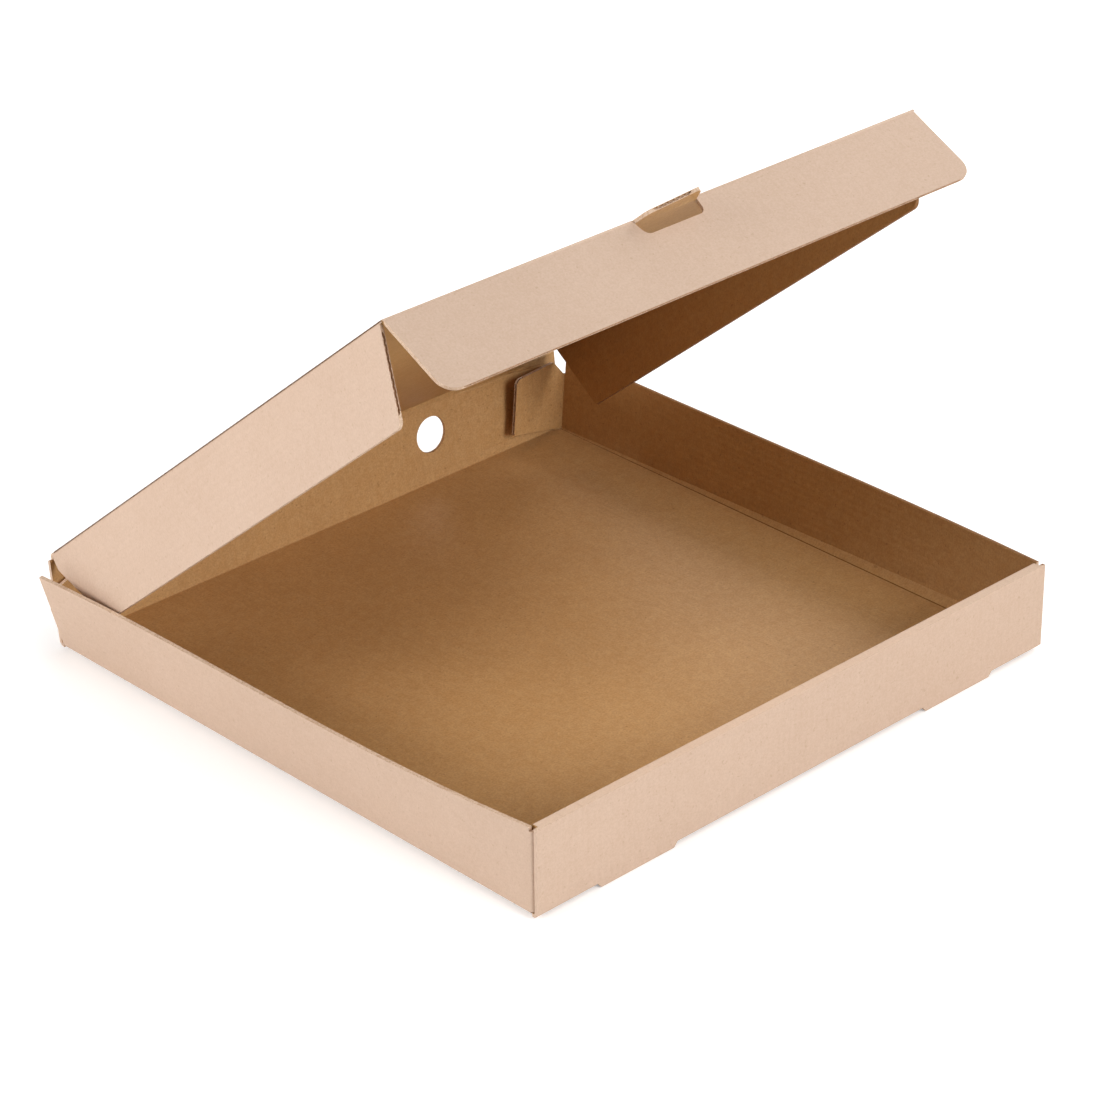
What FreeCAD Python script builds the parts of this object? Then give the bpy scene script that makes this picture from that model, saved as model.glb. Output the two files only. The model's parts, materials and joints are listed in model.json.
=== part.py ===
import FreeCAD, Part
import math
import os

# A corrugated pizza box of the roll-over front kind, folded from one sheet, its lid propped partly open.
# X runs along the front wall, +Y towards the hinge wall, +Z up.
# The origin is the middle of the underside. Millimetres and degrees.

# Board
board = 1.6                # thickness of the corrugated board
liner = 0.25               # thickness of each of its two liners
flute_pitch = 3.3          # from one flute to the next
flute_wall = 0.5           # width of the fluted sheet between two cells, along a cut edge
cell_depth = 1.2           # how far in the cells of a cut edge are open
score = 0.5                # flat of a folded edge, measured on the inside
wrap_radius = 2.0          # outside radius where a wall wraps round into a corner flap
seat_gap = 0.3             # air between two layers that lie against each other

# Base
base_width = 305.0
base_depth = 305.0
wall_height = 41.0
hinge_wall_lean = 6.0      # the hinge wall leans back

# How far the top of each side wall has flared out, from its front end to its rear end
left_flare = [0.4, 5.8, 8.0, 11.0]
right_flare = [0.3, 2.4, 3.0, 3.6]
flare_stations = [0.0, 0.2, 0.57, 1.0]
# Width of the second, false fold along the foot of each side wall at the same places
left_foot = [0.5, 0.5, 0.5, 0.5]
right_foot = [3.8, 3.4, 2.0, 0.5]

# Front wall, rolled over the corner flaps
corner_flap_length = 38.0
lock_tab_width = 41.0
lock_tab_inset = 35.0      # from the end of the front wall to a lock tab
lock_tab_side_gap = 0.4
heel_drop = 1.0            # how far the heels under the lock tabs reach below the underside
heel_run = 2.5             # how much wider a heel is at its top
heel_corner = 0.5
roll_radius = 1.5          # outside radius of the rolled top edge

# Rear dust flaps
dust_flap_length = 36.0
dust_flap_swing = 7.0      # how far the free edge stands off the hinge wall
dust_flap_foot = 8.0       # how much its lower edge rises to the free end
dust_flap_relief = 7.0     # how much lower its top is at the fold
dust_flap_corner = 3.0
left_dust_flap_height = 29.0
right_dust_flap_height = 37.0

# Vent hole in the hinge wall
vent_radius = 9.0
vent_offset = 70.0         # from the middle of the hinge wall
vent_height = 25.0

# Lid
lid_angle = 39.5           # from shut
lid_side_gap = 0.4         # between the lid's flaps and the side walls
lid_front_gap = 9.0        # between the shut lid's front flap and the rolled front wall
lid_rest_gap = 0.3         # between the shut lid and the top of the walls
lid_floor_gap = 1.3        # between the shut lid's flaps and the floor
hinge_gap = 0.4            # between the lid's rear edge and the hinge wall when laid right back

# Lid flaps: swing is measured outwards from square to the lid
front_flap_swing = 23.0
front_flap_shut = 4.0
front_flap_corner = 8.0
front_flap_side_gap = 0.6
left_flap_swing = 10.2
left_flap_shut = -2.0
right_flap_swing = -18.0
right_flap_inmost = -31.0
side_flap_corner = 4.0
side_flap_front_slope = 8.0
side_flap_rear_reach = 31.0     # along the lid from the hinge axis to a side flap's rear corner
right_flap_rear_gap = 7.0       # the same to the root of the flap
left_flap_rear_gap = 1.5
left_flap_rear_drop = 8.0       # the left flap's rear edge goes straight down before it slopes away
left_flap_rear_step = 1.5
crease_start = 0.2         # gap at a crease between the lid and its flap, on the outer liner
crease_play = 1.0          # angle left between the two bevels of a crease at the flap's inmost place

# Thumb tab and the finger hole that it leaves
thumb_root_width = 35.0
thumb_tip_width = 32.0
thumb_length = 8.2
thumb_left_lift = 2.0      # the tab is twisted: it is bent up more at its right end
thumb_right_lift = 14.0
thumb_corner = 3.5
thumb_cut = 0.5            # how much larger than the tab the finger hole is

Vector = FreeCAD.Vector
X_AXIS = Vector(1, 0, 0)
Y_AXIS = Vector(0, 1, 0)
Z_AXIS = Vector(0, 0, 1)


def sin(angle):
    return math.sin(math.radians(angle))


def cos(angle):
    return math.cos(math.radians(angle))


def tan(angle):
    return math.tan(math.radians(angle))


def wire_of(corners, origin, first, second):
    """Closed wire through corners (a, b) or (a, b, radius) in the plane of two directions."""
    points = [origin + first * corner[0] + second * corner[1] for corner in corners]
    radii = [corner[2] if len(corner) > 2 else 0.0 for corner in corners]
    count = len(points)
    starts = []
    ends = []
    arcs = []
    for index, point in enumerate(points):
        before = points[index - 1] - point
        after = points[(index + 1) % count] - point
        before.normalize()
        after.normalize()
        radius = radii[index]
        if radius == 0.0:
            starts.append(point)
            ends.append(point)
            arcs.append(None)
            continue
        half = before.getAngle(after) / 2
        reach = radius / math.tan(half)
        bisector = before + after
        bisector.normalize()
        centre = point + bisector * (radius / math.sin(half))
        starts.append(point + before * reach)
        ends.append(point + after * reach)
        arcs.append(centre - bisector * radius)
    edges = []
    for index in range(count):
        if arcs[index] is not None:
            edges.append(Part.Arc(starts[index], arcs[index], ends[index]).toShape())
        edges.append(Part.makeLine(ends[index], starts[(index + 1) % count]))
    return Part.Wire(edges)


def prism(corners, origin, first, second, along):
    """Solid swept along a vector from a flat outline."""
    return Part.Face(wire_of(corners, origin, first, second)).extrude(along)


def fuse(shapes):
    """One solid from overlapping ones, with faces that lie in one plane joined."""
    return shapes[0].multiFuse(shapes[1:]).removeSplitter()


def flute_cells(start, along, across, inward, length):
    """Open ends of the flutes along a cut edge, as cutters: cells lie by one liner and the other in turn.

    start is on the edge's outer corner, across leads through the board and inward into the sheet."""
    base = (flute_pitch - flute_wall) / 2
    tip = base - (board - 2 * liner - flute_wall / 2) * flute_pitch / (2 * board)
    tall = board - 2 * liner - flute_wall / 2
    cells = []
    for index in range(1, 2 * int(length / flute_pitch)):
        middle = index * flute_pitch / 2
        if index % 2:
            near = liner
            far = liner + tall
        else:
            near = board - liner
            far = near - tall
        corners = [(middle - base, near), (middle + base, near), (middle + tip, far), (middle - tip, far)]
        cells.append(prism(corners, start - inward, along, across, inward * (cell_depth + 1)))
    return Part.makeCompound(cells)


def folded_edge(lean, height, foot, stub):
    """Outline of a floor edge folded up into a wall: outwards and up, from the outer bottom corner."""
    outer_foot = foot + board * (2 - math.sqrt(2))
    inner_rise = board * (1 - sin(lean)) / cos(lean)
    inner_out = inner_rise * sin(lean) - board * cos(lean)
    return [
        (-stub, 0.0),
        (-outer_foot, 0.0),
        (outer_foot * sin(lean), outer_foot * cos(lean)),
        (height * sin(lean), height * cos(lean)),
        (height * sin(lean) - board * cos(lean), height * cos(lean) + board * sin(lean)),
        (inner_out + foot * sin(lean), board + foot * cos(lean)),
        (inner_out - foot, board),
        (-stub, board),
    ]


# Places worked out from the sizes above
half_width = base_width / 2
half_depth = base_depth / 2
layer = board + seat_gap
front_thickness = 3 * board + 2 * seat_gap
wall_end = layer + wrap_radius
floor_stub = 8.0
edge_stub = 3.0

axis_rise = wall_height - board / 2
axis_y = half_depth + axis_rise * sin(hinge_wall_lean) - board / 2 * cos(hinge_wall_lean)
axis_z = axis_rise * cos(hinge_wall_lean) + board / 2 * sin(hinge_wall_lean)
axis_point = Vector(0, axis_y, axis_z)

lid_inner = wall_height + lid_rest_gap - axis_z
lid_outer = lid_inner + board
lid_length = axis_y + half_depth - front_thickness - lid_front_gap
lid_width = base_width - 2 * (board + lid_side_gap)
lid_rear = board / 2 + hinge_gap
flap_height = axis_z + lid_outer - board - lid_floor_gap

# Directions of the open lid: along it from hinge to front, and out of its inner face
lid_along = Vector(0, -cos(lid_angle), sin(lid_angle))
lid_inward = Vector(0, -sin(lid_angle), -cos(lid_angle))
lid_face = axis_point - lid_inward * lid_outer


def side_wall(side, flares, feet):
    """Side wall with its share of the floor, flared and twisted along its length."""
    start = -half_depth + wall_end
    length = base_depth - 2 * wall_end
    sections = []
    for place, flare, foot in zip(flare_stations, flares, feet):
        lean = math.degrees(math.asin(flare / wall_height))
        corner = Vector(side * half_width, start + length * place, 0)
        outline = folded_edge(lean, wall_height, foot, floor_stub)
        sections.append(wire_of(outline, corner, X_AXIS * side, Z_AXIS))
    return Part.makeLoft(sections, True, False)


def wrapped_flap(side, end, flare, length, swing, outline):
    """Flap that wraps round one end of a side wall: a bend, then a flat board cut to an outline.

    side is -1 for left and 1 for right, end is -1 for the front and 1 for the rear."""
    lean = math.degrees(math.asin(flare / wall_height))
    up = Vector(side * sin(lean), 0, cos(lean))
    inward = Vector(-side * cos(lean), 0, sin(lean))
    towards = Y_AXIS * end
    corner = Vector(side * half_width, end * (half_depth - wall_end), 0)
    centre = corner + inward * wrap_radius
    turn = 90 - swing if end > 0 else 90
    reach = inward * sin(turn) + towards * cos(turn)
    radial = towards * sin(turn) - inward * cos(turn)
    middle = towards * sin(turn / 2) - inward * cos(turn / 2)
    inner_radius = wrap_radius - board
    outer_end = centre + radial * wrap_radius
    inner_end = centre + radial * inner_radius
    outer_arc = Part.Arc(corner, centre + middle * wrap_radius, outer_end).toShape()
    inner_arc = Part.Arc(inner_end, centre + middle * inner_radius, corner + inward * board).toShape()
    section = Part.Wire([
        outer_arc,
        Part.makeLine(outer_end, outer_end + reach * length),
        Part.makeLine(outer_end + reach * length, inner_end + reach * length),
        Part.makeLine(inner_end + reach * length, inner_end),
        inner_arc,
        Part.makeLine(corner + inward * board, corner),
    ])
    strip = Part.Face(section).extrude(up * wall_height)
    back = outer_end - radial * wrap_radius * 2
    cutter = prism(outline, back, reach, up, radial * wrap_radius * 4)
    flap = strip.common(cutter)
    floor_level = board + seat_gap
    slab_height = wall_height - floor_level - seat_gap
    slab = Part.makeBox(base_width * 2, base_depth * 2, slab_height, Vector(-base_width, -base_depth, floor_level))
    flap = flap.common(slab)
    if end > 0:
        free_end = outer_end + reach * length + up * outline[1][1]
        cells = flute_cells(free_end, up, -radial, -reach, outline[2][1] - outline[1][1] - dust_flap_corner)
        flap = flap.cut(cells)
    return flap


def rolled_front():
    """Front wall rolled over into a second layer, with lock tabs through the floor and heels below them."""
    corner = Vector(-half_width, -half_depth, 0)
    outline = folded_edge(0.0, wall_height, score, edge_stub)
    outer = prism(outline, corner, -Y_AXIS, Z_AXIS, X_AXIS * base_width)
    shoulder = roll_radius + board
    roll = [
        (0.0, wall_height - shoulder),
        (0.0, wall_height, roll_radius),
        (front_thickness, wall_height, roll_radius),
        (front_thickness, layer),
        (front_thickness - board, layer),
        (front_thickness - board, wall_height - board),
        (board, wall_height - board),
        (board, wall_height - shoulder),
    ]
    inset = board + seat_gap + flare_clearance
    roll_start = Vector(-half_width + inset, -half_depth, 0)
    inner = prism(roll, roll_start, Y_AXIS, Z_AXIS, X_AXIS * (base_width - 2 * inset))
    parts = [outer, inner]
    for left in lock_tab_lefts:
        tab_corner = Vector(left, -half_depth + front_thickness - board, 0)
        parts.append(Part.makeBox(lock_tab_width, board, layer + board, tab_corner))
        heel = [
            (left, -heel_drop, heel_corner),
            (left + lock_tab_width, -heel_drop, heel_corner),
            (left + lock_tab_width + heel_run, wrap_radius),
            (left - heel_run, wrap_radius),
        ]
        parts.append(prism(heel, Vector(0, -half_depth, 0), X_AXIS, Z_AXIS, Y_AXIS * (board - seat_gap)))
    return fuse(parts)


def hinge_wall():
    """Rear wall that carries the lid: its top is rounded about the lid's axis, and it has a vent hole."""
    outline = folded_edge(hinge_wall_lean, axis_rise, score, edge_stub)
    corner = Vector(-half_width, half_depth, 0)
    wall = prism(outline, corner, Y_AXIS, Z_AXIS, X_AXIS * base_width)
    top = Part.makeCylinder(board / 2, base_width, Vector(-half_width, axis_y, axis_z), X_AXIS)
    wall = fuse([wall, top])
    out = Vector(0, cos(hinge_wall_lean), -sin(hinge_wall_lean))
    rise = Vector(0, sin(hinge_wall_lean), cos(hinge_wall_lean)) * vent_height
    start = Vector(vent_offset, half_depth, 0) + rise - out * board * 2
    return wall.cut(Part.makeCylinder(vent_radius, board * 4, start, out))


def tray():
    """The whole base as one folded sheet."""
    floor_width = base_width - floor_stub
    floor = Part.makeBox(floor_width, base_depth - edge_stub, board,
                         Vector(-floor_width / 2, -half_depth + edge_stub / 2, 0))
    parts = [floor, hinge_wall()]
    corner_flap_top = wall_height - board - seat_gap
    corner_flap_outline = [
        (-wrap_radius * 2, 0.0),
        (corner_flap_length, 0.0),
        (corner_flap_length, corner_flap_top),
        (-wrap_radius * 2, corner_flap_top),
    ]
    sides = (
        (-1, left_flare, left_foot, left_dust_flap_height),
        (1, right_flare, right_foot, right_dust_flap_height),
    )
    for side, flares, feet, dust_flap_height in sides:
        dust_flap_outline = [
            (-wrap_radius * 2, 0.0),
            (dust_flap_length, dust_flap_foot),
            (dust_flap_length, dust_flap_height, dust_flap_corner),
            (dust_flap_relief, dust_flap_height, dust_flap_corner),
            (0.0, dust_flap_height - dust_flap_relief),
            (-wrap_radius * 2, dust_flap_height - dust_flap_relief),
        ]
        parts.append(side_wall(side, flares, feet))
        parts.append(wrapped_flap(side, -1, flares[0], corner_flap_length, 0.0, corner_flap_outline))
        parts.append(wrapped_flap(side, 1, flares[-1], dust_flap_length, dust_flap_swing, dust_flap_outline))
    sheet = fuse(parts)
    for left in lock_tab_lefts:
        slot_start = -half_depth + board + score + seat_gap
        slot_end = -half_depth + front_thickness + seat_gap
        corner = Vector(left - lock_tab_side_gap, slot_start, -board)
        slot = Part.makeBox(lock_tab_width + 2 * lock_tab_side_gap, slot_end - slot_start, board * 3, corner)
        sheet = sheet.cut(slot)
    return fuse([sheet, rolled_front()])


def bevel(edge_point, along, inward, depth, length, angle):
    """Wedge that a crease takes off the inner side of an edge, up to the edge's outer line."""
    reach = board / tan(angle)
    corners = [(0.0, 0.0), (-board, 0.0), (-board, board * 2), (reach, board * 2), (reach, board)]
    return prism(corners, edge_point, inward, depth, along * length)


def bevel_angle(inmost):
    """Bevel of each side of a crease whose flap swings in as far as inmost."""
    return (90 + inmost - crease_play) / 2


def lid_point(across, along):
    """Point on the lid's outer face."""
    return lid_face + X_AXIS * across + lid_along * along


def lid_panel():
    """Lid with bevelled creases on three sides and the thumb tab at the front."""
    half = lid_width / 2
    outline = [(-half, lid_rear), (half, lid_rear), (half, lid_length), (-half, lid_length)]
    panel = prism(outline, lid_face, X_AXIS, lid_along, lid_inward * board)
    run = lid_length + board * 2
    for side, inmost in ((-1, left_flap_shut), (1, right_flap_inmost)):
        start = lid_point(side * half, -board)
        panel = panel.cut(bevel(start, lid_along, X_AXIS * -side, lid_inward, run, bevel_angle(inmost)))
    start = lid_point(-half - board, lid_length)
    panel = panel.cut(bevel(start, X_AXIS, -lid_along, lid_inward, lid_width + board * 2,
                            bevel_angle(front_flap_shut)))
    return fuse([panel, thumb_tab()])


def thumb_tab():
    """Tab that stays in the lid when the front flap folds, bent up a little."""
    root = thumb_root_width / 2
    tip = thumb_tip_width / 2
    back = board * 2
    flat = [(-root, -back), (root, -back), (root, 0.0), (-root, 0.0)]
    seat = prism(flat, lid_point(0, lid_length), X_AXIS, lid_along, lid_inward * board)
    sections = []
    for across, lift in ((-root, thumb_left_lift), (root, thumb_right_lift)):
        rise = (cos(lift), -sin(lift))
        depth = (sin(lift), cos(lift))
        corners = [
            (0.0, 0.0),
            (thumb_length * rise[0], thumb_length * rise[1]),
            (thumb_length * rise[0] + board * depth[0], thumb_length * rise[1] + board * depth[1]),
            (board * depth[0], board * depth[1]),
            (0.0, board),
        ]
        sections.append(wire_of(corners, lid_point(across, lid_length), lid_along, lid_inward))
    tab = Part.makeLoft(sections, True, True)
    outline = [
        (-root, -board),
        (root, -board),
        (root, 0.0),
        (tip, thumb_length, thumb_corner),
        (-tip, thumb_length, thumb_corner),
        (-root, 0.0),
    ]
    above = lid_point(0, lid_length) - lid_inward * thumb_length
    tab = tab.common(prism(outline, above, X_AXIS, lid_along, lid_inward * thumb_length * 2))
    middle_lift = (thumb_left_lift + thumb_right_lift) / 2
    reach = lid_along * cos(middle_lift) - lid_inward * sin(middle_lift)
    across = lid_inward * cos(middle_lift) + lid_along * sin(middle_lift)
    twist = (thumb_right_lift - thumb_left_lift) / 2
    rise = thumb_length * tan(twist) * thumb_tip_width / thumb_root_width
    slant = X_AXIS * thumb_tip_width / 2 - lid_inward * rise
    run = slant.Length * 2 - thumb_corner * 2
    slant.normalize()
    start = lid_point(0, lid_length) + reach * thumb_length - slant * run / 2
    tab = tab.cut(flute_cells(start, slant, across, -reach, run))
    return fuse([seat, tab])


def front_flap():
    """Front flap, hinged on the lid's front crease, with the finger hole left by the thumb tab."""
    down = lid_inward * cos(front_flap_swing) + lid_along * sin(front_flap_swing)
    back = lid_inward * sin(front_flap_swing) - lid_along * cos(front_flap_swing)
    half = lid_width / 2 - front_flap_side_gap
    crease = lid_point(0, lid_length)
    outline = [
        (-half, crease_start),
        (half, crease_start),
        (half, flap_height, front_flap_corner),
        (-half, flap_height, front_flap_corner),
    ]
    flap = prism(outline, crease, X_AXIS, down, back * board)
    run = lid_width + board * 2
    start = crease + down * crease_start - X_AXIS * run / 2
    flap = flap.cut(bevel(start, X_AXIS, down, back, run, bevel_angle(front_flap_shut)))
    start = crease + down * flap_height - X_AXIS * (half - front_flap_corner)
    flap = flap.cut(flute_cells(start, X_AXIS, back, -down, 2 * (half - front_flap_corner)))
    root = thumb_root_width / 2 + thumb_cut
    tip = thumb_tip_width / 2 + thumb_cut
    hole = [
        (-root, -board),
        (root, -board),
        (root, 0.0),
        (tip, thumb_length + thumb_cut, thumb_corner),
        (-tip, thumb_length + thumb_cut, thumb_corner),
        (-root, 0.0),
    ]
    return flap.cut(prism(hole, crease - back * board, X_AXIS, down, back * board * 3))


def side_flap(side, swing, inmost, rear):
    """Side flap, hinged on a side crease of the lid, with its rear end sloped to clear the dust flap.

    rear lists the corners of its rear end, from the lower one up to the crease."""
    down = lid_inward * cos(swing) + X_AXIS * side * sin(swing)
    back = lid_inward * sin(swing) - X_AXIS * side * cos(swing)
    crease = lid_point(side * lid_width / 2, 0)
    front = lid_length - board - 2 * seat_gap
    lower_front = front - side_flap_front_slope
    outline = [(front, crease_start), (lower_front, flap_height, side_flap_corner)] + rear
    flap = prism(outline, crease, lid_along, down, back * board)
    start = crease + down * crease_start
    flap = flap.cut(bevel(start, lid_along, down, back, lid_length, bevel_angle(inmost)))
    edge = down * (flap_height - crease_start) - lid_along * side_flap_front_slope
    run = edge.Length - 2 * board - side_flap_corner
    edge.normalize()
    inward = edge.cross(back)
    if inward.dot(lid_along) > 0:
        inward = inward * -1
    start = crease + lid_along * front + down * crease_start + edge * 2 * board
    return flap.cut(flute_cells(start, edge, back, inward, run))


side_flap_rear_corner = (side_flap_rear_reach, flap_height)
right_flap_rear = [side_flap_rear_corner, (right_flap_rear_gap, crease_start)]
left_flap_rear = [
    side_flap_rear_corner,
    (left_flap_rear_gap + left_flap_rear_step, left_flap_rear_drop, side_flap_corner),
    (left_flap_rear_gap, crease_start),
]
flare_clearance = max(left_flare[0], right_flare[0])
lock_tab_lefts = (-half_width + lock_tab_inset, half_width - lock_tab_inset - lock_tab_width)

nodes = {
    "tray": tray(),
    "lid": lid_panel(),
    "lid_front_flap": front_flap(),
    "lid_left_flap": side_flap(-1, left_flap_swing, left_flap_shut, left_flap_rear),
    "lid_right_flap": side_flap(1, right_flap_swing, right_flap_inmost, right_flap_rear),
}

os.makedirs("parts", exist_ok=True)
for name, shape in nodes.items():
    shape.exportStep(f"parts/{name}.step")
    box = shape.BoundBox
    print(name, "solids", len(shape.Solids), "valid", shape.isValid(), "volume", round(shape.Volume),
          "box", [round(value, 1) for value in (box.XMin, box.YMin, box.ZMin, box.XMax, box.YMax, box.ZMax)])
print("lid axis", round(axis_y, 3), round(axis_z, 3), "length", round(lid_length, 3),
      "outer face", round(lid_outer, 3), "flap height", round(flap_height, 3))
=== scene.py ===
import json
import math

import bmesh
import bpy
from mathutils import Matrix, Vector


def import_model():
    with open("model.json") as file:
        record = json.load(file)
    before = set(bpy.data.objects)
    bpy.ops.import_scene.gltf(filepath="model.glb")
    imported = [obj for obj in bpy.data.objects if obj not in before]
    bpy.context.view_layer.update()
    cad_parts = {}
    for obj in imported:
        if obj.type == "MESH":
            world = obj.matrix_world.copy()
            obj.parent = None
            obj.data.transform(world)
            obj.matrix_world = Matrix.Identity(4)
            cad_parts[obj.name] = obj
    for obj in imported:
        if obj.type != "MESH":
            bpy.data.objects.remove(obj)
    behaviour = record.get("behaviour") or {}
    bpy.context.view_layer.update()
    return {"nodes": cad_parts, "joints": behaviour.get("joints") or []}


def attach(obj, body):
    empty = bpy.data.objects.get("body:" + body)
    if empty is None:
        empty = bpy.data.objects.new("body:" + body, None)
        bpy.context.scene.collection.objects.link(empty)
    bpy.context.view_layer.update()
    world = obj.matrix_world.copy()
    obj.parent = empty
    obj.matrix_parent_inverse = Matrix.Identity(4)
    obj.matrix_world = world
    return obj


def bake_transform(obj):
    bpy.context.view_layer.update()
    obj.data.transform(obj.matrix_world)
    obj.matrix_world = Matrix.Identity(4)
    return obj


# Sizes in metres, in the CAD frame
BOARD = 0.0016                # thickness of the board
PITCH = 0.0033                # from flute to flute
HALF = 0.1525                 # half the base
WALL = 0.041                  # wall height
LINER = 0.00025               # thickness of one liner
NEAR = 0.0002                 # a face this near to a plane lies in it
FRONT_LAYERS = 0.0054         # thickness of the rolled front wall
FOOT_PLACES = (0.0, 0.2, 0.57, 1.0)    # places along the right wall, as shares from the front
RIGHT_FLARES = (0.0003, 0.0024, 0.003, 0.0036)    # how far its top leans out there
RIGHT_FEET = (0.0038, 0.0034, 0.002, 0.0005)      # width of the false fold along its foot there
RIGHT_FLARE = RIGHT_FLARES[-1]
LEFT_FLARE = 0.011            # how far the rear end of the left wall leans out at its top
WALL_END = 0.0039             # from the corner to where a side wall starts to wrap round
WRAP = 0.002                  # outside radius of that wrap
FRONT_END = 0.0021            # from the corner to the end of the rolled front wall
SIDE_START = 0.0006           # from the rolled front wall to the foot of a side wall
HEEL = 0.001                  # how far the lock tabs reach below the floor
SHADE_LINE_WIDTH = 0.0006          # width of the painted shade line on the floor
DUST_ZONE = 0.012             # the dust flaps lie within this of the rear edge
HINGE_ZONE = 0.006            # the hinge wall's inner face lies within this of it
VENT_ZONE = 0.003             # and the vent's rim within this
HINGE_LEAN = math.radians(6.0)    # the hinge wall leans back
DUST_SWING = math.radians(7.0)    # turn of a dust flap from square to its side wall
DUST_LENGTH = 0.036           # from the fold to the free end
DUST_ROOT = 0.0003            # the standing flap starts this far along from the fold
DUST_START = 0.0021           # its lower edge at the fold
DUST_FOOT = 0.008             # its lower edge at the free end
DUST_TOP = 0.0367             # its top at the free end, under the shut lid
DUST_HIGH = 0.0386            # its top beside the fold
DUST_RELIEF = 0.0085          # width of the slanted corner at the fold
DUST_CORNER = 0.003           # radius of its upper corners
DUST_LOW_CORNER = 0.001       # radius of its lower corner at the free end
FLUTE_DEPTH = 0.005           # how far the flutes are open in the standing flap
LINING_ENDS = (0.084, 0.1315)     # ends of the wall lining, along the wall
LINING_FOOT = 0.004           # its lower edge
LINING_TOP = 0.04             # its upper edge
SUNK = 0.00008                # how deep the rim of a patch lies in the wall
PATCH_BACK = 0.0003           # how deep its back lies
FRONT_SWING = math.radians(23.0)    # the flaps' places in the photograph, from square to the lid
LEFT_SWING = math.radians(10.2)
RIGHT_SWING = math.radians(-18.0)
VENT = Vector((0.07, 0.1545, 0.025))    # middle of the vent hole
VENT_REACH = 0.0105           # faces this near to the middle are its rim
LID_REAR = 0.0012             # from the hinge axis to the lid's rear edge
LID_OUTER = 0.002837          # from the hinge axis to the lid's outer face
LID_HALF = 0.1505             # half the lid's width
THUMB_HALF = 0.0185           # half the width of the finger hole at the crease

# The camera, from a fit of the box's corners to the photograph
CAMERA_PLACE = (-0.999137, -1.05335, 0.827049)
CAMERA_RIGHT = (0.719324, -0.694635, -0.007452)
CAMERA_DOWN = (-0.333365, -0.335762, -0.880983)
CAMERA_FORWARD = (0.609459, 0.636197, -0.473089)
CAMERA_LENS = 124.2373
CAMERA_SHIFT = (-0.01335, 0.000629)
WORLD_LIGHT = 0.16
FLOOR_REACH = 12.0            # half the studio floor
FLOOR_DROP = 0.0012           # how far it lies under the tray, just below the lock tabs' heels
FLOOR_GLOW = 0.32             # lifts the floor to white where it is looked at
LAMP_DISTANCE = 2.8
LAMP_TARGET = (0.0, 0.0, 0.08)

# Material slots of the CAD nodes; the added pieces that have three use the first three
OUTSIDE, INSIDE, CUT, OPEN, SHADE_PAINTED, ROLLED = range(6)

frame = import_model()
nodes = frame["nodes"]
joints = {joint["name"]: joint for joint in frame["joints"]}

X = Vector((1.0, 0.0, 0.0))
Y = Vector((0.0, 1.0, 0.0))
Z = Vector((0.0, 0.0, 1.0))
ORIGIN = Vector((0.0, 0.0, 0.0))
AXIS = Vector(joints["lid_hinge"]["pos_m"])
CREASE = Vector(joints["front_flap_hinge"]["pos_m"])
LEFT_ROOT = Vector(joints["left_flap_hinge"]["pos_m"])
RIGHT_ROOT = Vector(joints["right_flap_hinge"]["pos_m"])
ROOT = Vector((0.0, LEFT_ROOT.y, LEFT_ROOT.z))
LENGTH = (CREASE - ROOT).length
ALONG = (CREASE - ROOT).normalized()
INWARD = X.cross(ALONG)


def swung(side_ways, angle):
    """Directions down a flap and out of its inner face."""
    down = INWARD * math.cos(angle) + side_ways * math.sin(angle)
    back = INWARD * math.sin(angle) - side_ways * math.cos(angle)
    return down, back


FRONT_DOWN, FRONT_BACK = swung(ALONG, FRONT_SWING)
LEFT_DOWN, LEFT_BACK = swung(-X, LEFT_SWING)
RIGHT_DOWN, RIGHT_BACK = swung(X, RIGHT_SWING)


# Materials

class Graph:
    """A material's node tree, with short ways to add to it."""

    def __init__(self, name):
        self.material = bpy.data.materials.new(name)
        self.material.use_nodes = True
        self.tree = self.material.node_tree
        self.shader = self.tree.nodes["Principled BSDF"]

    def put(self, kind, inputs=(), **settings):
        node = self.tree.nodes.new(kind)
        for key, value in settings.items():
            setattr(node, key, value)
        for key, value in dict(inputs).items():
            self.feed(node.inputs[key], value)
        return node

    def feed(self, socket, value):
        if isinstance(value, bpy.types.NodeSocket):
            self.tree.links.new(value, socket)
        else:
            socket.default_value = value

    def sums(self, operation, first, second=0.0, third=0.0):
        return self.put("ShaderNodeMath", {0: first, 1: second, 2: third}, operation=operation).outputs[0]

    def noise(self, where, scale, detail, roughness=0.5):
        given = {"Vector": where, "Scale": scale, "Detail": detail, "Roughness": roughness}
        return self.put("ShaderNodeTexNoise", given).outputs["Fac"]

    def stretched(self, where, scale, turn):
        given = {"Vector": where, "Scale": scale, "Rotation": (0.0, 0.0, turn)}
        return self.put("ShaderNodeMapping", given).outputs[0]

    def span(self, value, low, high, to_low, to_high):
        given = {"Value": value, "From Min": low, "From Max": high, "To Min": to_low, "To Max": to_high}
        return self.put("ShaderNodeMapRange", given, interpolation_type="SMOOTHSTEP").outputs["Result"]

    def mix(self, amount, first, second):
        node = self.put("ShaderNodeMix", data_type="RGBA", blend_type="MIX")
        self.feed(node.inputs[0], amount)
        self.feed(node.inputs[6], first)
        self.feed(node.inputs[7], second)
        return node.outputs[2]


def rgb(red, green, blue):
    """Linear colour, with alpha, from the numbers of a screen colour, each from 11 to 255."""
    linear = [((value / 255 + 0.055) / 1.055) ** 2.4 for value in (red, green, blue)]
    return (*linear, 1.0)


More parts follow.
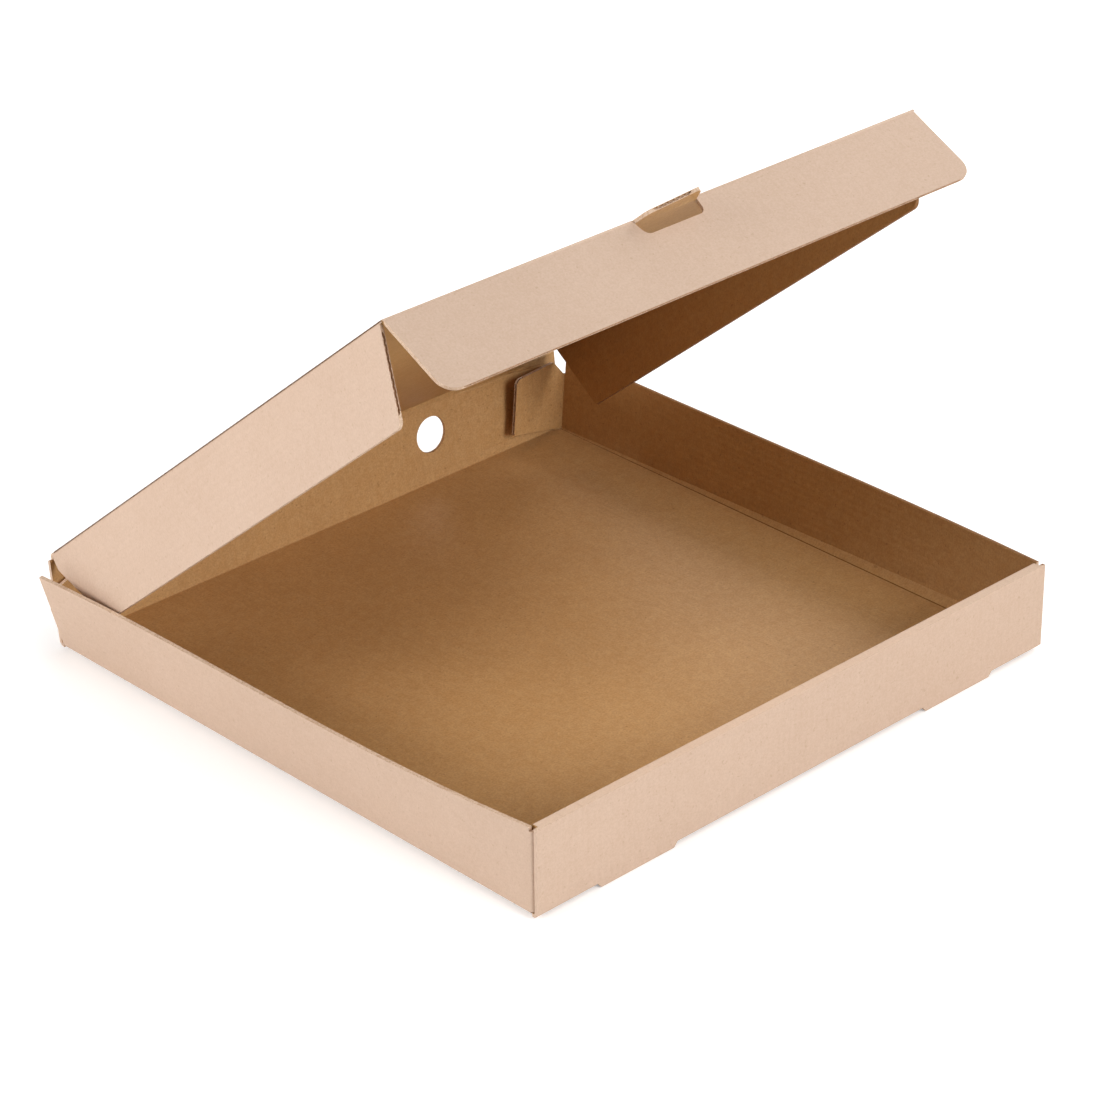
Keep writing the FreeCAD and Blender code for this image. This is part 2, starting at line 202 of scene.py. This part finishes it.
def paper(name, base, deep, pale, mottle, specks, washboard, shine):
    """Kraft liner: faint mottling, fine grain, short fibres and flecks, and the flutes' faint washboard."""
    graph = Graph(name)
    place = graph.put("ShaderNodeTexCoord")
    where = place.outputs["Object"]
    sheet = place.outputs["UV"]
    flute = graph.put("ShaderNodeSeparateXYZ", {"Vector": sheet}).outputs["X"]
    clouds = graph.noise(where, 16.0, 3.0, 0.5)
    blots = graph.noise(where, 260.0, 3.0, 0.55)
    grain = graph.noise(where, 1100.0, 3.0, 0.6)
    colour = graph.mix(graph.span(clouds, 0.3, 0.7, 0.0, mottle * 0.5), base, deep)
    colour = graph.mix(graph.span(blots, 0.3, 0.7, 0.0, mottle), colour, pale)
    colour = graph.mix(graph.span(grain, 0.3, 0.7, 0.0, specks * 0.6), colour, deep)
    for turn in (0.5, -0.75, 1.7):
        fibres = graph.noise(graph.stretched(sheet, (0.35, 2.4, 1.0), turn), 1.0, 1.0, 0.4)
        colour = graph.mix(graph.span(fibres, 0.68, 0.78, 0.0, specks * 0.55), colour, deep)
        colour = graph.mix(graph.span(fibres, 0.32, 0.22, 0.0, specks * 0.45), colour, pale)
    flecks = graph.noise(where, 620.0, 1.0, 0.4)
    colour = graph.mix(graph.span(flecks, 0.70, 0.77, 0.0, specks * 0.9), colour, deep)
    wave = graph.sums("SINE", graph.sums("MULTIPLY", flute, 2 * math.pi / (PITCH * 1000)))
    uneven = graph.span(graph.noise(where, 22.0, 2.0), 0.35, 0.7, 0.25, 1.0)
    ripple = graph.sums("MULTIPLY", wave, uneven)
    colour = graph.mix(graph.sums("MULTIPLY_ADD", ripple, washboard * 0.5, washboard * 0.5), colour, deep)
    graph.feed(graph.shader.inputs["Base Color"], colour)
    graph.shader.inputs["Roughness"].default_value = 0.62
    graph.shader.inputs["Specular IOR Level"].default_value = shine
    height = graph.sums("MULTIPLY", ripple, 0.00002)
    height = graph.sums("MULTIPLY_ADD", grain, 0.00003, height)
    height = graph.sums("MULTIPLY_ADD", blots, 0.00005, height)
    height = graph.sums("MULTIPLY_ADD", clouds, 0.0008, height)
    bump = graph.put("ShaderNodeBump", {"Height": height, "Strength": 0.8, "Distance": 1.0})
    graph.feed(graph.shader.inputs["Normal"], bump.outputs[0])
    return graph.material


def raw_board(name, pale, dark, low):
    """Torn, unlined board, as at a cut edge or down in the open flutes."""
    graph = Graph(name)
    where = graph.put("ShaderNodeTexCoord").outputs["Object"]
    grain = graph.noise(where, 1300.0, 3.0, 0.6)
    patches = graph.noise(where, 240.0, 2.0, 0.5)
    colour = graph.mix(graph.span(grain, 0.42, 0.66, 0.0, low), pale, dark)
    colour = graph.mix(graph.span(patches, 0.5, 0.7, 0.0, low * 0.7), colour, dark)
    graph.feed(graph.shader.inputs["Base Color"], colour)
    graph.shader.inputs["Roughness"].default_value = 0.95
    graph.shader.inputs["Specular IOR Level"].default_value = 0.1
    height = graph.sums("MULTIPLY", grain, 0.0001)
    bump = graph.put("ShaderNodeBump", {"Height": height, "Strength": 0.7, "Distance": 1.0})
    graph.feed(graph.shader.inputs["Normal"], bump.outputs[0])
    return graph.material


OUTER = paper("outer liner", rgb(209, 182, 161), rgb(174, 142, 116), rgb(221, 198, 181),
              mottle=0.18, specks=0.36, washboard=0.05, shine=0.2)
# Outer liner painted lighter, for the light falling on the rolled front wall's top
PAINTED_LIGHT_LINER = paper("outer liner painted lighter", rgb(224, 196, 173), rgb(184, 152, 126), rgb(232, 208, 188),
               mottle=0.18, specks=0.36, washboard=0.0, shine=0.15)
INNER = paper("inner liner", rgb(196, 153, 99), rgb(144, 104, 64), rgb(213, 176, 126),
              mottle=0.28, specks=0.6, washboard=0.08, shine=0.38)
# Liner painted dark along the left lid crease, for the thin line of shade there
PAINTED_SHADE_LINER = paper("liner with painted crease shade", rgb(112, 84, 64), rgb(80, 58, 42), rgb(140, 110, 88),
                mottle=0.3, specks=0.4, washboard=0.0, shine=0.1)
EDGE = raw_board("cut edge", rgb(214, 188, 164), rgb(168, 130, 98), 0.5)
CELL = raw_board("open flute", rgb(206, 170, 138), rgb(160, 124, 92), 0.5)
# Board painted dark for the shade in the crease at the right wall's foot
PAINTED_CREASE_SHADE = raw_board("painted crease shade", rgb(140, 104, 64), rgb(108, 78, 46), 0.5)
# Cut edge painted darker for the shade on the right lid flap's edges, the right wall's top and the vent's
# rim
PAINTED_SHADE_EDGE = raw_board("painted shade edge", rgb(150, 110, 74), rgb(104, 72, 46), 0.6)


def dress(name, sort):
    """Gives each face of a CAD node a liner, an edge or a flute's inside, and its place on the sheet.

    sort says for a face's middle and normal which it is, which directions measure it, and which way and
    from where the board's thickness runs there."""
    mesh = nodes[name].data
    mesh.materials.clear()
    for material in (OUTER, INNER, EDGE, CELL, PAINTED_SHADE_EDGE, PAINTED_LIGHT_LINER):
        mesh.materials.append(material)
    outmost = {}
    for face in mesh.polygons:
        key = tuple(round(value, 2) for value in face.normal)
        outmost[key] = max(outmost.get(key, -1.0), face.center.dot(face.normal))
    layer = mesh.uv_layers.get("board") or mesh.uv_layers.new(name="board")
    mesh.uv_layers.active = layer
    layer.active_render = True
    for face in mesh.polygons:
        which, origin, first, second, through = sort(face.center, face.normal)
        if through is not None:
            depths = [(mesh.vertices[index].co - origin).dot(through) for index in face.vertices]
            key = tuple(round(value, 2) for value in face.normal)
            sunk = face.center.dot(face.normal) < outmost[key] - BOARD * 0.3
            if min(depths) > LINER * 0.8 and max(depths) < BOARD - LINER * 0.8 and sunk:
                which = OPEN
        face.material_index = which
        for loop in face.loop_indices:
            offset = mesh.vertices[mesh.loops[loop].vertex_index].co - origin
            layer.data[loop].uv = (offset.dot(first) * 1000, offset.dot(second) * 1000)


def sheet_sort(origin, across_flutes, along_flutes, back, edge=CUT):
    """Sorter for a flat panel whose inner face looks along back; origin is on its outer face.

    The bevels of a crease show the inner liner, pressed down into them."""

    def sort(middle, normal):
        facing = normal.dot(back)
        if facing > 0.3:
            return INSIDE, origin, across_flutes, along_flutes, back
        if facing < -0.9:
            return OUTSIDE, origin, across_flutes, along_flutes, back
        return edge, origin, across_flutes, back, back

    return sort


def dust_flap(side, swing):
    """Place and directions of a rear dust flap: fold, along it, up it, and in through the board.

    swing is how far it leans back towards the hinge wall."""
    lean = math.asin((LEFT_FLARE if side < 0 else RIGHT_FLARE) / WALL)
    up = Vector((side * math.sin(lean), 0.0, math.cos(lean)))
    inward = Vector((-side * math.cos(lean), 0.0, math.sin(lean)))
    turn = math.pi / 2 - swing
    centre = Vector((side * HALF, HALF - WALL_END, 0.0)) + inward * WRAP
    reach = inward * math.sin(turn) + Y * math.cos(turn)
    radial = Y * math.sin(turn) - inward * math.cos(turn)
    return centre + radial * WRAP, reach, up, -radial


def front_sort(middle, normal):
    """Sorter for the rolled front wall: liner, or heel under it."""
    if normal.z > 0.3 and middle.z > WALL - BOARD * 0.9:
        # the rolled top gets the outer liner painted lighter, for the light on it
        return ROLLED, ORIGIN, X, Z, None
    if middle.y < -HALF + BOARD + NEAR and normal.y < -0.3:
        return OUTSIDE, ORIGIN, X, Z, None
    if normal.y > 0.3 and middle.y > -HALF + FRONT_LAYERS - NEAR:
        return OUTSIDE, ORIGIN, X, Z, None
    if normal.z < -0.5 and middle.z < NEAR / 2:
        return (OUTSIDE if middle.z > -HEEL / 2 else CUT), ORIGIN, X, Y, None
    return INSIDE, ORIGIN, X, Z, None


def dust_sort(middle, normal, side):
    """Sorter for the dust flaps, or None where the face isn't theirs."""
    fold, reach, up, through = dust_flap(side, DUST_SWING)
    offset = middle - fold
    in_board = -NEAR / 2 < offset.dot(through) < BOARD + NEAR / 2
    if offset.dot(reach) <= -NEAR or not in_board or middle.y <= HALF - DUST_ZONE:
        return None
    if abs(normal.dot(through)) > 0.9:
        return (INSIDE if normal.dot(through) > 0 else OUTSIDE), fold, reach, up, through
    if side > 0:
        return INSIDE, fold, up, reach, None
    return CUT, fold, up, reach, through


def hinge_wall_sort(middle, normal):
    """Sorter for the hinge wall."""
    if normal.y > 0.3 or normal.z > 0.5:
        return OUTSIDE, ORIGIN, X, Z, None
    if normal.y < -0.3:
        return INSIDE, ORIGIN, X, Z, None
    return CUT, ORIGIN, X, Y, None


def side_wall_sort(normal, side):
    """Sorter for the side walls and what wraps round from them."""
    if normal.z > 0.8:
        # the right wall's top gets the cut edge painted darker for shade
        return (CUT if side < 0 else SHADE_PAINTED), ORIGIN, Y, X, None
    if normal.x * side > 0.1:
        return OUTSIDE, ORIGIN, Z, Y, None
    if normal.x * side < -0.1:
        return INSIDE, ORIGIN, Z, Y, None
    return CUT, ORIGIN, Z, X, None


def tray_sort(middle, normal):
    """Sorter for the base: which side of the sheet faces out changes with every fold."""
    side = 1.0 if middle.x > 0 else -1.0
    if middle.y < -HALF + FRONT_LAYERS + NEAR and abs(middle.x) < HALF - FRONT_END:
        return front_sort(middle, normal)
    if middle.z > BOARD + NEAR:
        sorted_flap = dust_sort(middle, normal, side)
        if sorted_flap:
            return sorted_flap
    if middle.y > HALF - HINGE_ZONE and normal.y < -0.3 and abs(normal.x) < 0.5:
        return INSIDE, ORIGIN, X, Z, None
    if middle.y > HALF - VENT_ZONE and abs(normal.y) < 0.2 and (middle - VENT).length < VENT_REACH:
        # the vent's rim gets the cut edge painted darker for shade
        return SHADE_PAINTED, ORIGIN, X, Z, None
    if abs(normal.z) > 0.8 and middle.z < BOARD + 0.0003:
        return (INSIDE if normal.z > 0 else OUTSIDE), ORIGIN, X, Y, None
    if middle.y > HALF - BOARD - 0.0003 and abs(normal.x) < 0.8:
        return hinge_wall_sort(middle, normal)
    if middle.y < -HALF + 0.006 and abs(middle.x) < HALF - 0.0025:
        return (OUTSIDE if normal.y < 0 else INSIDE), ORIGIN, Z, X, None
    return side_wall_sort(normal, side)


dress("lid", sheet_sort(ROOT, X, ALONG, INWARD))
dress("lid_front_flap", sheet_sort(CREASE, X, FRONT_DOWN, FRONT_BACK))
dress("lid_left_flap", sheet_sort(LEFT_ROOT, LEFT_DOWN, ALONG, LEFT_BACK))
# the right lid flap's cut edges are painted darker for shade
dress("lid_right_flap", sheet_sort(RIGHT_ROOT, RIGHT_DOWN, ALONG, RIGHT_BACK, SHADE_PAINTED))
dress("tray", tray_sort)


# Folds: the liner runs on from panel to panel over each crease

def made(name, points, faces, materials, slots=None):
    """Mesh object from points and faces, normals outwards, with its place on the sheet in millimetres."""
    mesh = bpy.data.meshes.new(name)
    mesh.from_pydata([tuple(point) for point in points], [], faces)
    for material in materials:
        mesh.materials.append(material)
    layer = mesh.uv_layers.new(name="board")
    for face in mesh.polygons:
        face.material_index = slots[face.index] if slots else 0
        for loop in face.loop_indices:
            place = mesh.vertices[mesh.loops[loop].vertex_index].co
            layer.data[loop].uv = (place.x * 1000, (place.y + place.z) * 1000)
    shape = bmesh.new()
    shape.from_mesh(mesh)
    bmesh.ops.recalc_face_normals(shape, faces=shape.faces)
    shape.to_mesh(mesh)
    shape.free()
    item = bpy.data.objects.new(name, mesh)
    bpy.context.scene.collection.objects.link(item)
    return item


def swept(name, islands, materials, sides):
    """Closed mesh of outlines carried along straight lines. An island is its outline, a line and its ends.

    sides are the slots round the outline."""
    points = []
    faces = []
    slots = []
    for outline, line, stations in islands:
        first = len(points)
        count = len(outline)
        for station in stations:
            points += [corner + line * station for corner in outline]
        for step in range(len(stations) - 1):
            for index in range(count):
                low = first + step * count
                after = (index + 1) % count
                faces.append((low + index, low + after, low + count + after, low + count + index))
                slots.append(sides[index])
        last = first + (len(stations) - 1) * count
        faces.append(tuple(first + index for index in reversed(range(count))))
        faces.append(tuple(last + index for index in range(count)))
        slots += [CUT] * 2
    return made(name, points, faces, materials, slots)


def crease_strip(name, pivot, line, first, first_out, second, second_out, stations, crease_tone):
    """Outer liner over the crease of a lid flap. pivot is on the crease, first and second lead away from it.

    The last argument is the liner's look on the crease itself; a darker one paints the shade along the
    crease."""
    out = (first_out + second_out).normalized()
    outline = [
        pivot + first * 0.0012 - first_out * 0.00003,
        pivot + first * 0.0011 + first_out * 0.00003,
        pivot + first * 0.0005 + first_out * 0.00009,
        pivot + first * 0.0002 + first_out * 0.00012,
        pivot + out * 0.00014,
        pivot + second * 0.0002 + second_out * 0.00012,
        pivot + second * 0.0005 + second_out * 0.00009,
        pivot + second * 0.0008 + second_out * 0.00003,
        pivot + second * 0.0009 - second_out * 0.00003,
        pivot - out * 0.00005,
    ]
    sides = [0, 0, 0, 1, 1, 1, 0, 0, 0, 0]
    item = swept(name, [(outline, line, pair) for pair in stations], [OUTER, crease_tone, EDGE], sides)
    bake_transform(item)
    for face in item.data.polygons:
        face.use_smooth = True


def along_hinge(angle, radius):
    """Point at a distance from the hinge axis; angle is from the rear, over the top, in degrees."""
    return AXIS + Vector((0.0, math.cos(math.radians(angle)), math.sin(math.radians(angle)))) * radius


def hinge_fold():
    """The board between the hinge wall and the lid, bent where the box is."""
    rear = AXIS + INWARD * -LID_OUTER + ALONG * LID_REAR
    front = rear + INWARD * BOARD
    outline = [
        along_hinge(-60.0, 0.00083),
        along_hinge(-20.0, 0.00092),
        along_hinge(14.0, 0.00112),
        along_hinge(38.0, 0.00152),
        along_hinge(54.0, 0.00204),
        along_hinge(64.0, 0.00252),
        rear - INWARD * 0.00002,
        rear - INWARD * 0.00002 + ALONG * 0.0012,
        rear + INWARD * 0.0006 + ALONG * 0.0010,
        front + INWARD * 0.00002 + ALONG * 0.0012,
        front + INWARD * 0.00002,
        along_hinge(108.0, 0.00135),
        along_hinge(126.0, 0.00108),
        along_hinge(150.0, 0.00092),
        along_hinge(180.0, 0.00085),
        along_hinge(215.0, 0.00083),
        along_hinge(250.0, 0.0004),
    ]
    sides = [0] * 7 + [1] * 10
    item = swept("hinge_fold", [(outline, X, (-LID_HALF, LID_HALF))], [OUTER, INNER, EDGE], sides)
    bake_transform(item)
    for face in item.data.polygons:
        face.use_smooth = len(face.vertices) == 4


def ladder(rungs):
    """Faces of a closed strip between rungs of four points each, with its two ends."""
    faces = [(3, 2, 1, 0), tuple(rungs * 4 - 4 + index for index in range(4))]
    for step in range(rungs - 1):
        for index in range(4):
            after = (index + 1) % 4
            faces.append((step * 4 + index, step * 4 + after, step * 4 + 4 + after, step * 4 + 4 + index))
    return faces


def foot_crease():
    """Dark line painted on the floor for the shade in the crease beside the false fold along the right
    wall's foot.
    """
    points = []
    slope = (X + Z).normalized()
    for place, flare, foot in zip(FOOT_PLACES, RIGHT_FLARES, RIGHT_FEET):
        lean = math.asin(flare / WALL)
        rise = BOARD * (1 - math.sin(lean)) / math.cos(lean)
        inner = HALF + rise * math.sin(lean) - BOARD * math.cos(lean)
        y = -HALF + FRONT_LAYERS + SIDE_START + (2 * HALF - FRONT_LAYERS - WALL_END) * place
        corner = Vector((inner - foot, y, BOARD))
        width = SHADE_LINE_WIDTH * min(1.0, foot / 0.002)
        points.append(corner - X * width - slope * 0.00004)
        points.append(corner - X * width * 0.9 + slope * 0.00003)
        points.append(corner + Vector((-0.00003, 0.0, 0.00006)))
        points.append(corner + slope * width * 0.3)
    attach(made("floor_crease_shade", points, ladder(len(FOOT_PLACES)), [PAINTED_CREASE_SHADE]), "tray")


def rounded(corners):
    """Outline through (a, b, radius) corners, with arcs at the rounded ones."""
    outline = []
    steps = 6
    for index, (a, b, radius) in enumerate(corners):
        here = Vector((a, b))
        before = (Vector(corners[index - 1][:2]) - here).normalized()
        after = (Vector(corners[(index + 1) % len(corners)][:2]) - here).normalized()
        half = before.angle(after) / 2
        if radius == 0.0:
            outline.append(here)
            continue
        start = here + before * radius / math.tan(half)
        end = here + after * radius / math.tan(half)
        centre = here + (before + after).normalized() * radius / math.sin(half)
        for step in range(steps + 1):
            spoke = (start - centre).lerp(end - centre, step / steps).normalized()
            outline.append(centre + spoke * radius)
    return outline


def plate(corners, place, low, high, slots):
    """Points, faces and slots of a flat plate between two depths.

    slots are those of its low side, its edge and its high side."""
    points = [place(a, b, low) for a, b in corners] + [place(a, b, high) for a, b in corners]
    count = len(corners)
    faces = [tuple(range(count)), tuple(range(2 * count - 1, count - 1, -1))]
    kinds = [slots[0], slots[2]]
    for index in range(count):
        after = (index + 1) % count
        faces.append((index, index + count, after + count, after))
        kinds.append(slots[1])
    return points, faces, kinds


def flap_fluting(place):
    """Points, faces and slots of the fluted sheet between the liners at the standing flap's free edge."""
    sheet = LINER * 0.9
    swing = BOARD / 2 - LINER - sheet / 2
    overlap = 0.0002
    margin = 0.0006
    set_back = 0.00005
    root = DUST_LENGTH - FLUTE_DEPTH - overlap
    start = DUST_FOOT + margin
    height = DUST_TOP - DUST_FOOT - 2 * margin
    steps = 84
    points = []
    for step in range(steps + 1):
        b = start + height * step / steps
        over = max(0.0, b - DUST_TOP + DUST_CORNER, DUST_FOOT + DUST_LOW_CORNER - b)
        rounding = DUST_CORNER - math.sqrt(max(0.0, DUST_CORNER ** 2 - over ** 2))
        end = DUST_LENGTH - set_back - rounding
        depth = BOARD / 2 + swing * math.sin(2 * math.pi * b / PITCH)
        near, far = depth - sheet / 2, depth + sheet / 2
        points += [place(root, b, near), place(end, b, near), place(end, b, far), place(root, b, far)]
    faces = ladder(steps + 1)
    return points, faces, [CUT] * len(faces)


def standing_flap():
    """The right dust flap, standing off the hinge wall, with its flutes open at the free edge."""
    fold, reach, up, through = dust_flap(1.0, -DUST_SWING)

    def place(a, b, depth):
        return fold + reach * a + up * b + through * depth

    relief_foot = DUST_HIGH - DUST_RELIEF + 0.0004
    outline = rounded([(DUST_ROOT, DUST_START, 0.0),
                       (DUST_LENGTH, DUST_FOOT, DUST_LOW_CORNER),
                       (DUST_LENGTH, DUST_TOP, DUST_CORNER),
                       (DUST_RELIEF, DUST_HIGH, DUST_CORNER),
                       (DUST_ROOT, relief_foot, 0.0)])
    core_end = DUST_LENGTH - FLUTE_DEPTH
    lower_rise = (DUST_FOOT - DUST_START) / DUST_LENGTH
    core_top = DUST_TOP + (DUST_HIGH - DUST_TOP) * FLUTE_DEPTH / (DUST_LENGTH - DUST_RELIEF)
    core = [point for point in outline if point.x < core_end]
    core.insert(1, Vector((core_end, DUST_FOOT - lower_rise * FLUTE_DEPTH)))
    core.insert(2, Vector((core_end, core_top)))
    groups = [plate(outline, place, 0.0, LINER, (OUTSIDE, CUT, CUT)),
              plate(outline, place, BOARD - LINER, BOARD, (CUT, CUT, INSIDE)),
              plate(core, place, LINER, BOARD - LINER, (CUT, CUT, CUT)),
              flap_fluting(place)]
    all_points = []
    all_faces = []
    all_slots = []
    for points, faces, slots in groups:
        first = len(all_points)
        all_points += points
        all_faces += [tuple(first + index for index in face) for face in faces]
        all_slots += slots
    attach(made("standing_flap", all_points, all_faces, [OUTER, INNER, EDGE], all_slots), "tray")


def eased(share):
    """Smooth step from 0 to 1 as share goes from 0 to 1."""
    share = min(1.0, max(0.0, share))
    return share * share * (3 - 2 * share)


def wall_patch(name, outward, across, heights, swell, material):
    """Liner of the hinge wall where it stands out a little; outward is 1.0 outside and -1.0 inside.

    swell gives how far it stands out at a place along the wall and a height; its rim lies in the wall."""
    base = HALF if outward > 0 else HALF - BOARD / math.cos(HINGE_LEAN)
    columns = len(across)
    face_points = []
    back_points = []
    for z in heights:
        flat = base + z * math.tan(HINGE_LEAN)
        for x in across:
            face_points.append(Vector((x, flat + outward * (swell(x, z) - SUNK), z)))
            back_points.append(Vector((x, flat - outward * PATCH_BACK, z)))
    total = len(face_points)
    faces = []
    for row in range(len(heights) - 1):
        for column in range(columns - 1):
            corner = row * columns + column
            quad = (corner, corner + 1, corner + columns + 1, corner + columns)
            faces.append(quad)
            faces.append(tuple(total + index for index in reversed(quad)))
    last = (len(heights) - 1) * columns
    rim = (list(range(columns)) + [row * columns + columns - 1 for row in range(1, len(heights))]
           + list(range(last + columns - 2, last - 1, -1))
           + [row * columns for row in range(len(heights) - 2, 0, -1)])
    for index, here in enumerate(rim):
        after = rim[(index + 1) % len(rim)]
        faces.append((here, total + here, total + after, after))
    if outward > 0:
        faces = [tuple(reversed(face)) for face in faces]
    item = made(name, face_points + back_points, faces, [material])
    for face in item.data.polygons:
        face.use_smooth = True
    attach(item, "tray")


def wall_lining():
    """Inside of the hinge wall beside the standing flap, over the fold's inner layer."""
    start, end = LINING_ENDS
    thickness = 0.0015
    lip = 0.0007
    lip_foot = 0.0365

    def swell(x, z):
        rise = thickness + lip * eased((z - lip_foot) / 0.003)
        rim = eased((z - LINING_FOOT) / 0.016) * eased((LINING_TOP - z) / 0.0004)
        return rise * eased((x - start) / 0.025) * rim

    across = [start + (end - start) * step / 19 for step in range(20)]
    heights = [LINING_FOOT + 0.033 * step / 11 for step in range(12)]
    heights += [0.0382, 0.0392, 0.0396, LINING_TOP]
    wall_patch("wall_lining", -1.0, across, heights, swell, INNER)


def wall_bulge(name, x_peak, z_peak, half_width, low, high, rise):
    """Slight bulge outside the hinge wall, over the corner of a dust flap."""

    def swell(x, z):
        drop = (z_peak - z) / (z_peak - low) if z < z_peak else (z - z_peak) / (high - z_peak)
        return rise * eased(1 - abs(x - x_peak) / half_width) * eased(1 - drop)

    across = [x_peak + half_width * (step / 14 - 1) for step in range(29)]
    heights = [low + (high - low) * step / 24 for step in range(25)]
    wall_patch(name, 1.0, across, heights, swell, OUTER)


hinge_fold()
foot_crease()
standing_flap()
wall_lining()
wall_bulge("right_wall_bulge", 0.116, 0.0125, half_width=0.02, low=0.0015, high=0.03, rise=0.0016)
wall_bulge("left_wall_bulge", -0.1186, 0.018, half_width=0.02, low=0.004, high=0.033, rise=0.0009)
crease_strip("front_crease", CREASE, X, -ALONG, -INWARD, FRONT_DOWN, -FRONT_BACK,
             [(-LID_HALF, -THUMB_HALF), (THUMB_HALF, LID_HALF)], OUTER)
# the left crease's strip carries the painted shade line
crease_strip("left_crease", LEFT_ROOT, ALONG, X, -INWARD, LEFT_DOWN, -LEFT_BACK,
             [(0.004, LENGTH - 0.0005)], PAINTED_SHADE_LINER)
crease_strip("right_crease", RIGHT_ROOT, ALONG, -X, -INWARD, RIGHT_DOWN, -RIGHT_BACK,
             [(0.0075, LENGTH - 0.0005)], OUTER)


# Stage

def softbox(name, azimuth, height, size, power, colour):
    """Lamp round the box: azimuth from the front towards the right, and height, in degrees."""
    turn, rise = math.radians(azimuth), math.radians(height)
    flat = math.cos(rise) * LAMP_DISTANCE
    place = Vector((math.sin(turn) * flat, -math.cos(turn) * flat, math.sin(rise) * LAMP_DISTANCE))
    light = bpy.data.lights.new(name, "AREA")
    light.shape = "RECTANGLE"
    light.size, light.size_y = size
    light.energy = power
    light.color = colour
    item = bpy.data.objects.new(name, light)
    item.location = place
    item.rotation_euler = (Vector(LAMP_TARGET) - place).to_track_quat("-Z", "Y").to_euler()
    bpy.context.scene.collection.objects.link(item)


def floor():
    """Pale studio floor that reads as white and keeps the box's shadow."""
    reach = FLOOR_REACH
    mesh = bpy.data.meshes.new("floor")
    corners = [(-reach, -reach), (reach, -reach), (reach, reach), (-reach, reach)]
    mesh.from_pydata([(x, y, -FLOOR_DROP) for x, y in corners], [], [(0, 1, 2, 3)])
    item = bpy.data.objects.new("floor", mesh)
    bpy.context.scene.collection.objects.link(item)
    graph = Graph("floor")
    graph.shader.inputs["Base Color"].default_value = (0.9, 0.9, 0.9, 1.0)
    graph.shader.inputs["Roughness"].default_value = 0.9
    graph.shader.inputs["Specular IOR Level"].default_value = 0.0
    graph.shader.inputs["Emission Color"].default_value = (1.0, 1.0, 1.0, 1.0)
    rays = graph.put("ShaderNodeLightPath")
    seen = graph.sums("MAXIMUM", rays.outputs["Is Camera Ray"], rays.outputs["Is Glossy Ray"])
    seen = graph.sums("MAXIMUM", seen, rays.outputs["Is Transmission Ray"])
    graph.feed(graph.shader.inputs["Emission Strength"], graph.sums("MULTIPLY", seen, FLOOR_GLOW))
    mesh.materials.append(graph.material)


def world():
    """Faint light from all round, and white where the camera looks past the floor."""
    item = bpy.data.worlds.new("studio")
    bpy.context.scene.world = item
    item.use_nodes = True
    tree = item.node_tree
    shade = tree.nodes["Background"]
    shade.inputs["Color"].default_value = (0.95, 0.98, 1.0, 1.0)
    shade.inputs["Strength"].default_value = WORLD_LIGHT
    white = tree.nodes.new("ShaderNodeBackground")
    white.inputs["Color"].default_value = (1.0, 1.0, 1.0, 1.0)
    white.inputs["Strength"].default_value = 1.0
    rays = tree.nodes.new("ShaderNodeLightPath")
    either = tree.nodes.new("ShaderNodeMixShader")
    tree.links.new(rays.outputs["Is Camera Ray"], either.inputs[0])
    tree.links.new(shade.outputs[0], either.inputs[1])
    tree.links.new(white.outputs[0], either.inputs[2])
    tree.links.new(either.outputs[0], tree.nodes["World Output"].inputs["Surface"])


def camera():
    """Camera at the photograph's place."""
    data = bpy.data.cameras.new("camera")
    item = bpy.data.objects.new("camera", data)
    bpy.context.scene.collection.objects.link(item)
    columns = [Vector(CAMERA_RIGHT), -Vector(CAMERA_DOWN), -Vector(CAMERA_FORWARD)]
    turn = Matrix(columns).transposed().to_4x4()
    item.matrix_world = Matrix.Translation(CAMERA_PLACE) @ turn
    data.sensor_width = 36.0
    data.lens = CAMERA_LENS
    data.shift_x, data.shift_y = CAMERA_SHIFT
    data.clip_end = 60.0
    bpy.context.scene.camera = item


floor()
world()
softbox("key", 7.0, 25.0, (1.2, 1.2), 48.0, (1.0, 0.99, 0.98))
softbox("left", -116.0, 21.0, (1.4, 1.1), 60.0, (1.0, 0.985, 0.975))
softbox("right", 92.0, 32.0, (1.3, 1.3), 30.0, (1.0, 0.99, 0.98))
softbox("rear", 136.0, 28.0, (1.3, 1.3), 14.0, (1.0, 1.0, 1.0))
softbox("top", 0.0, 66.0, (1.3, 1.3), 15.0, (1.0, 0.985, 0.97))
camera()
bpy.context.scene.view_settings.view_transform = "Standard"
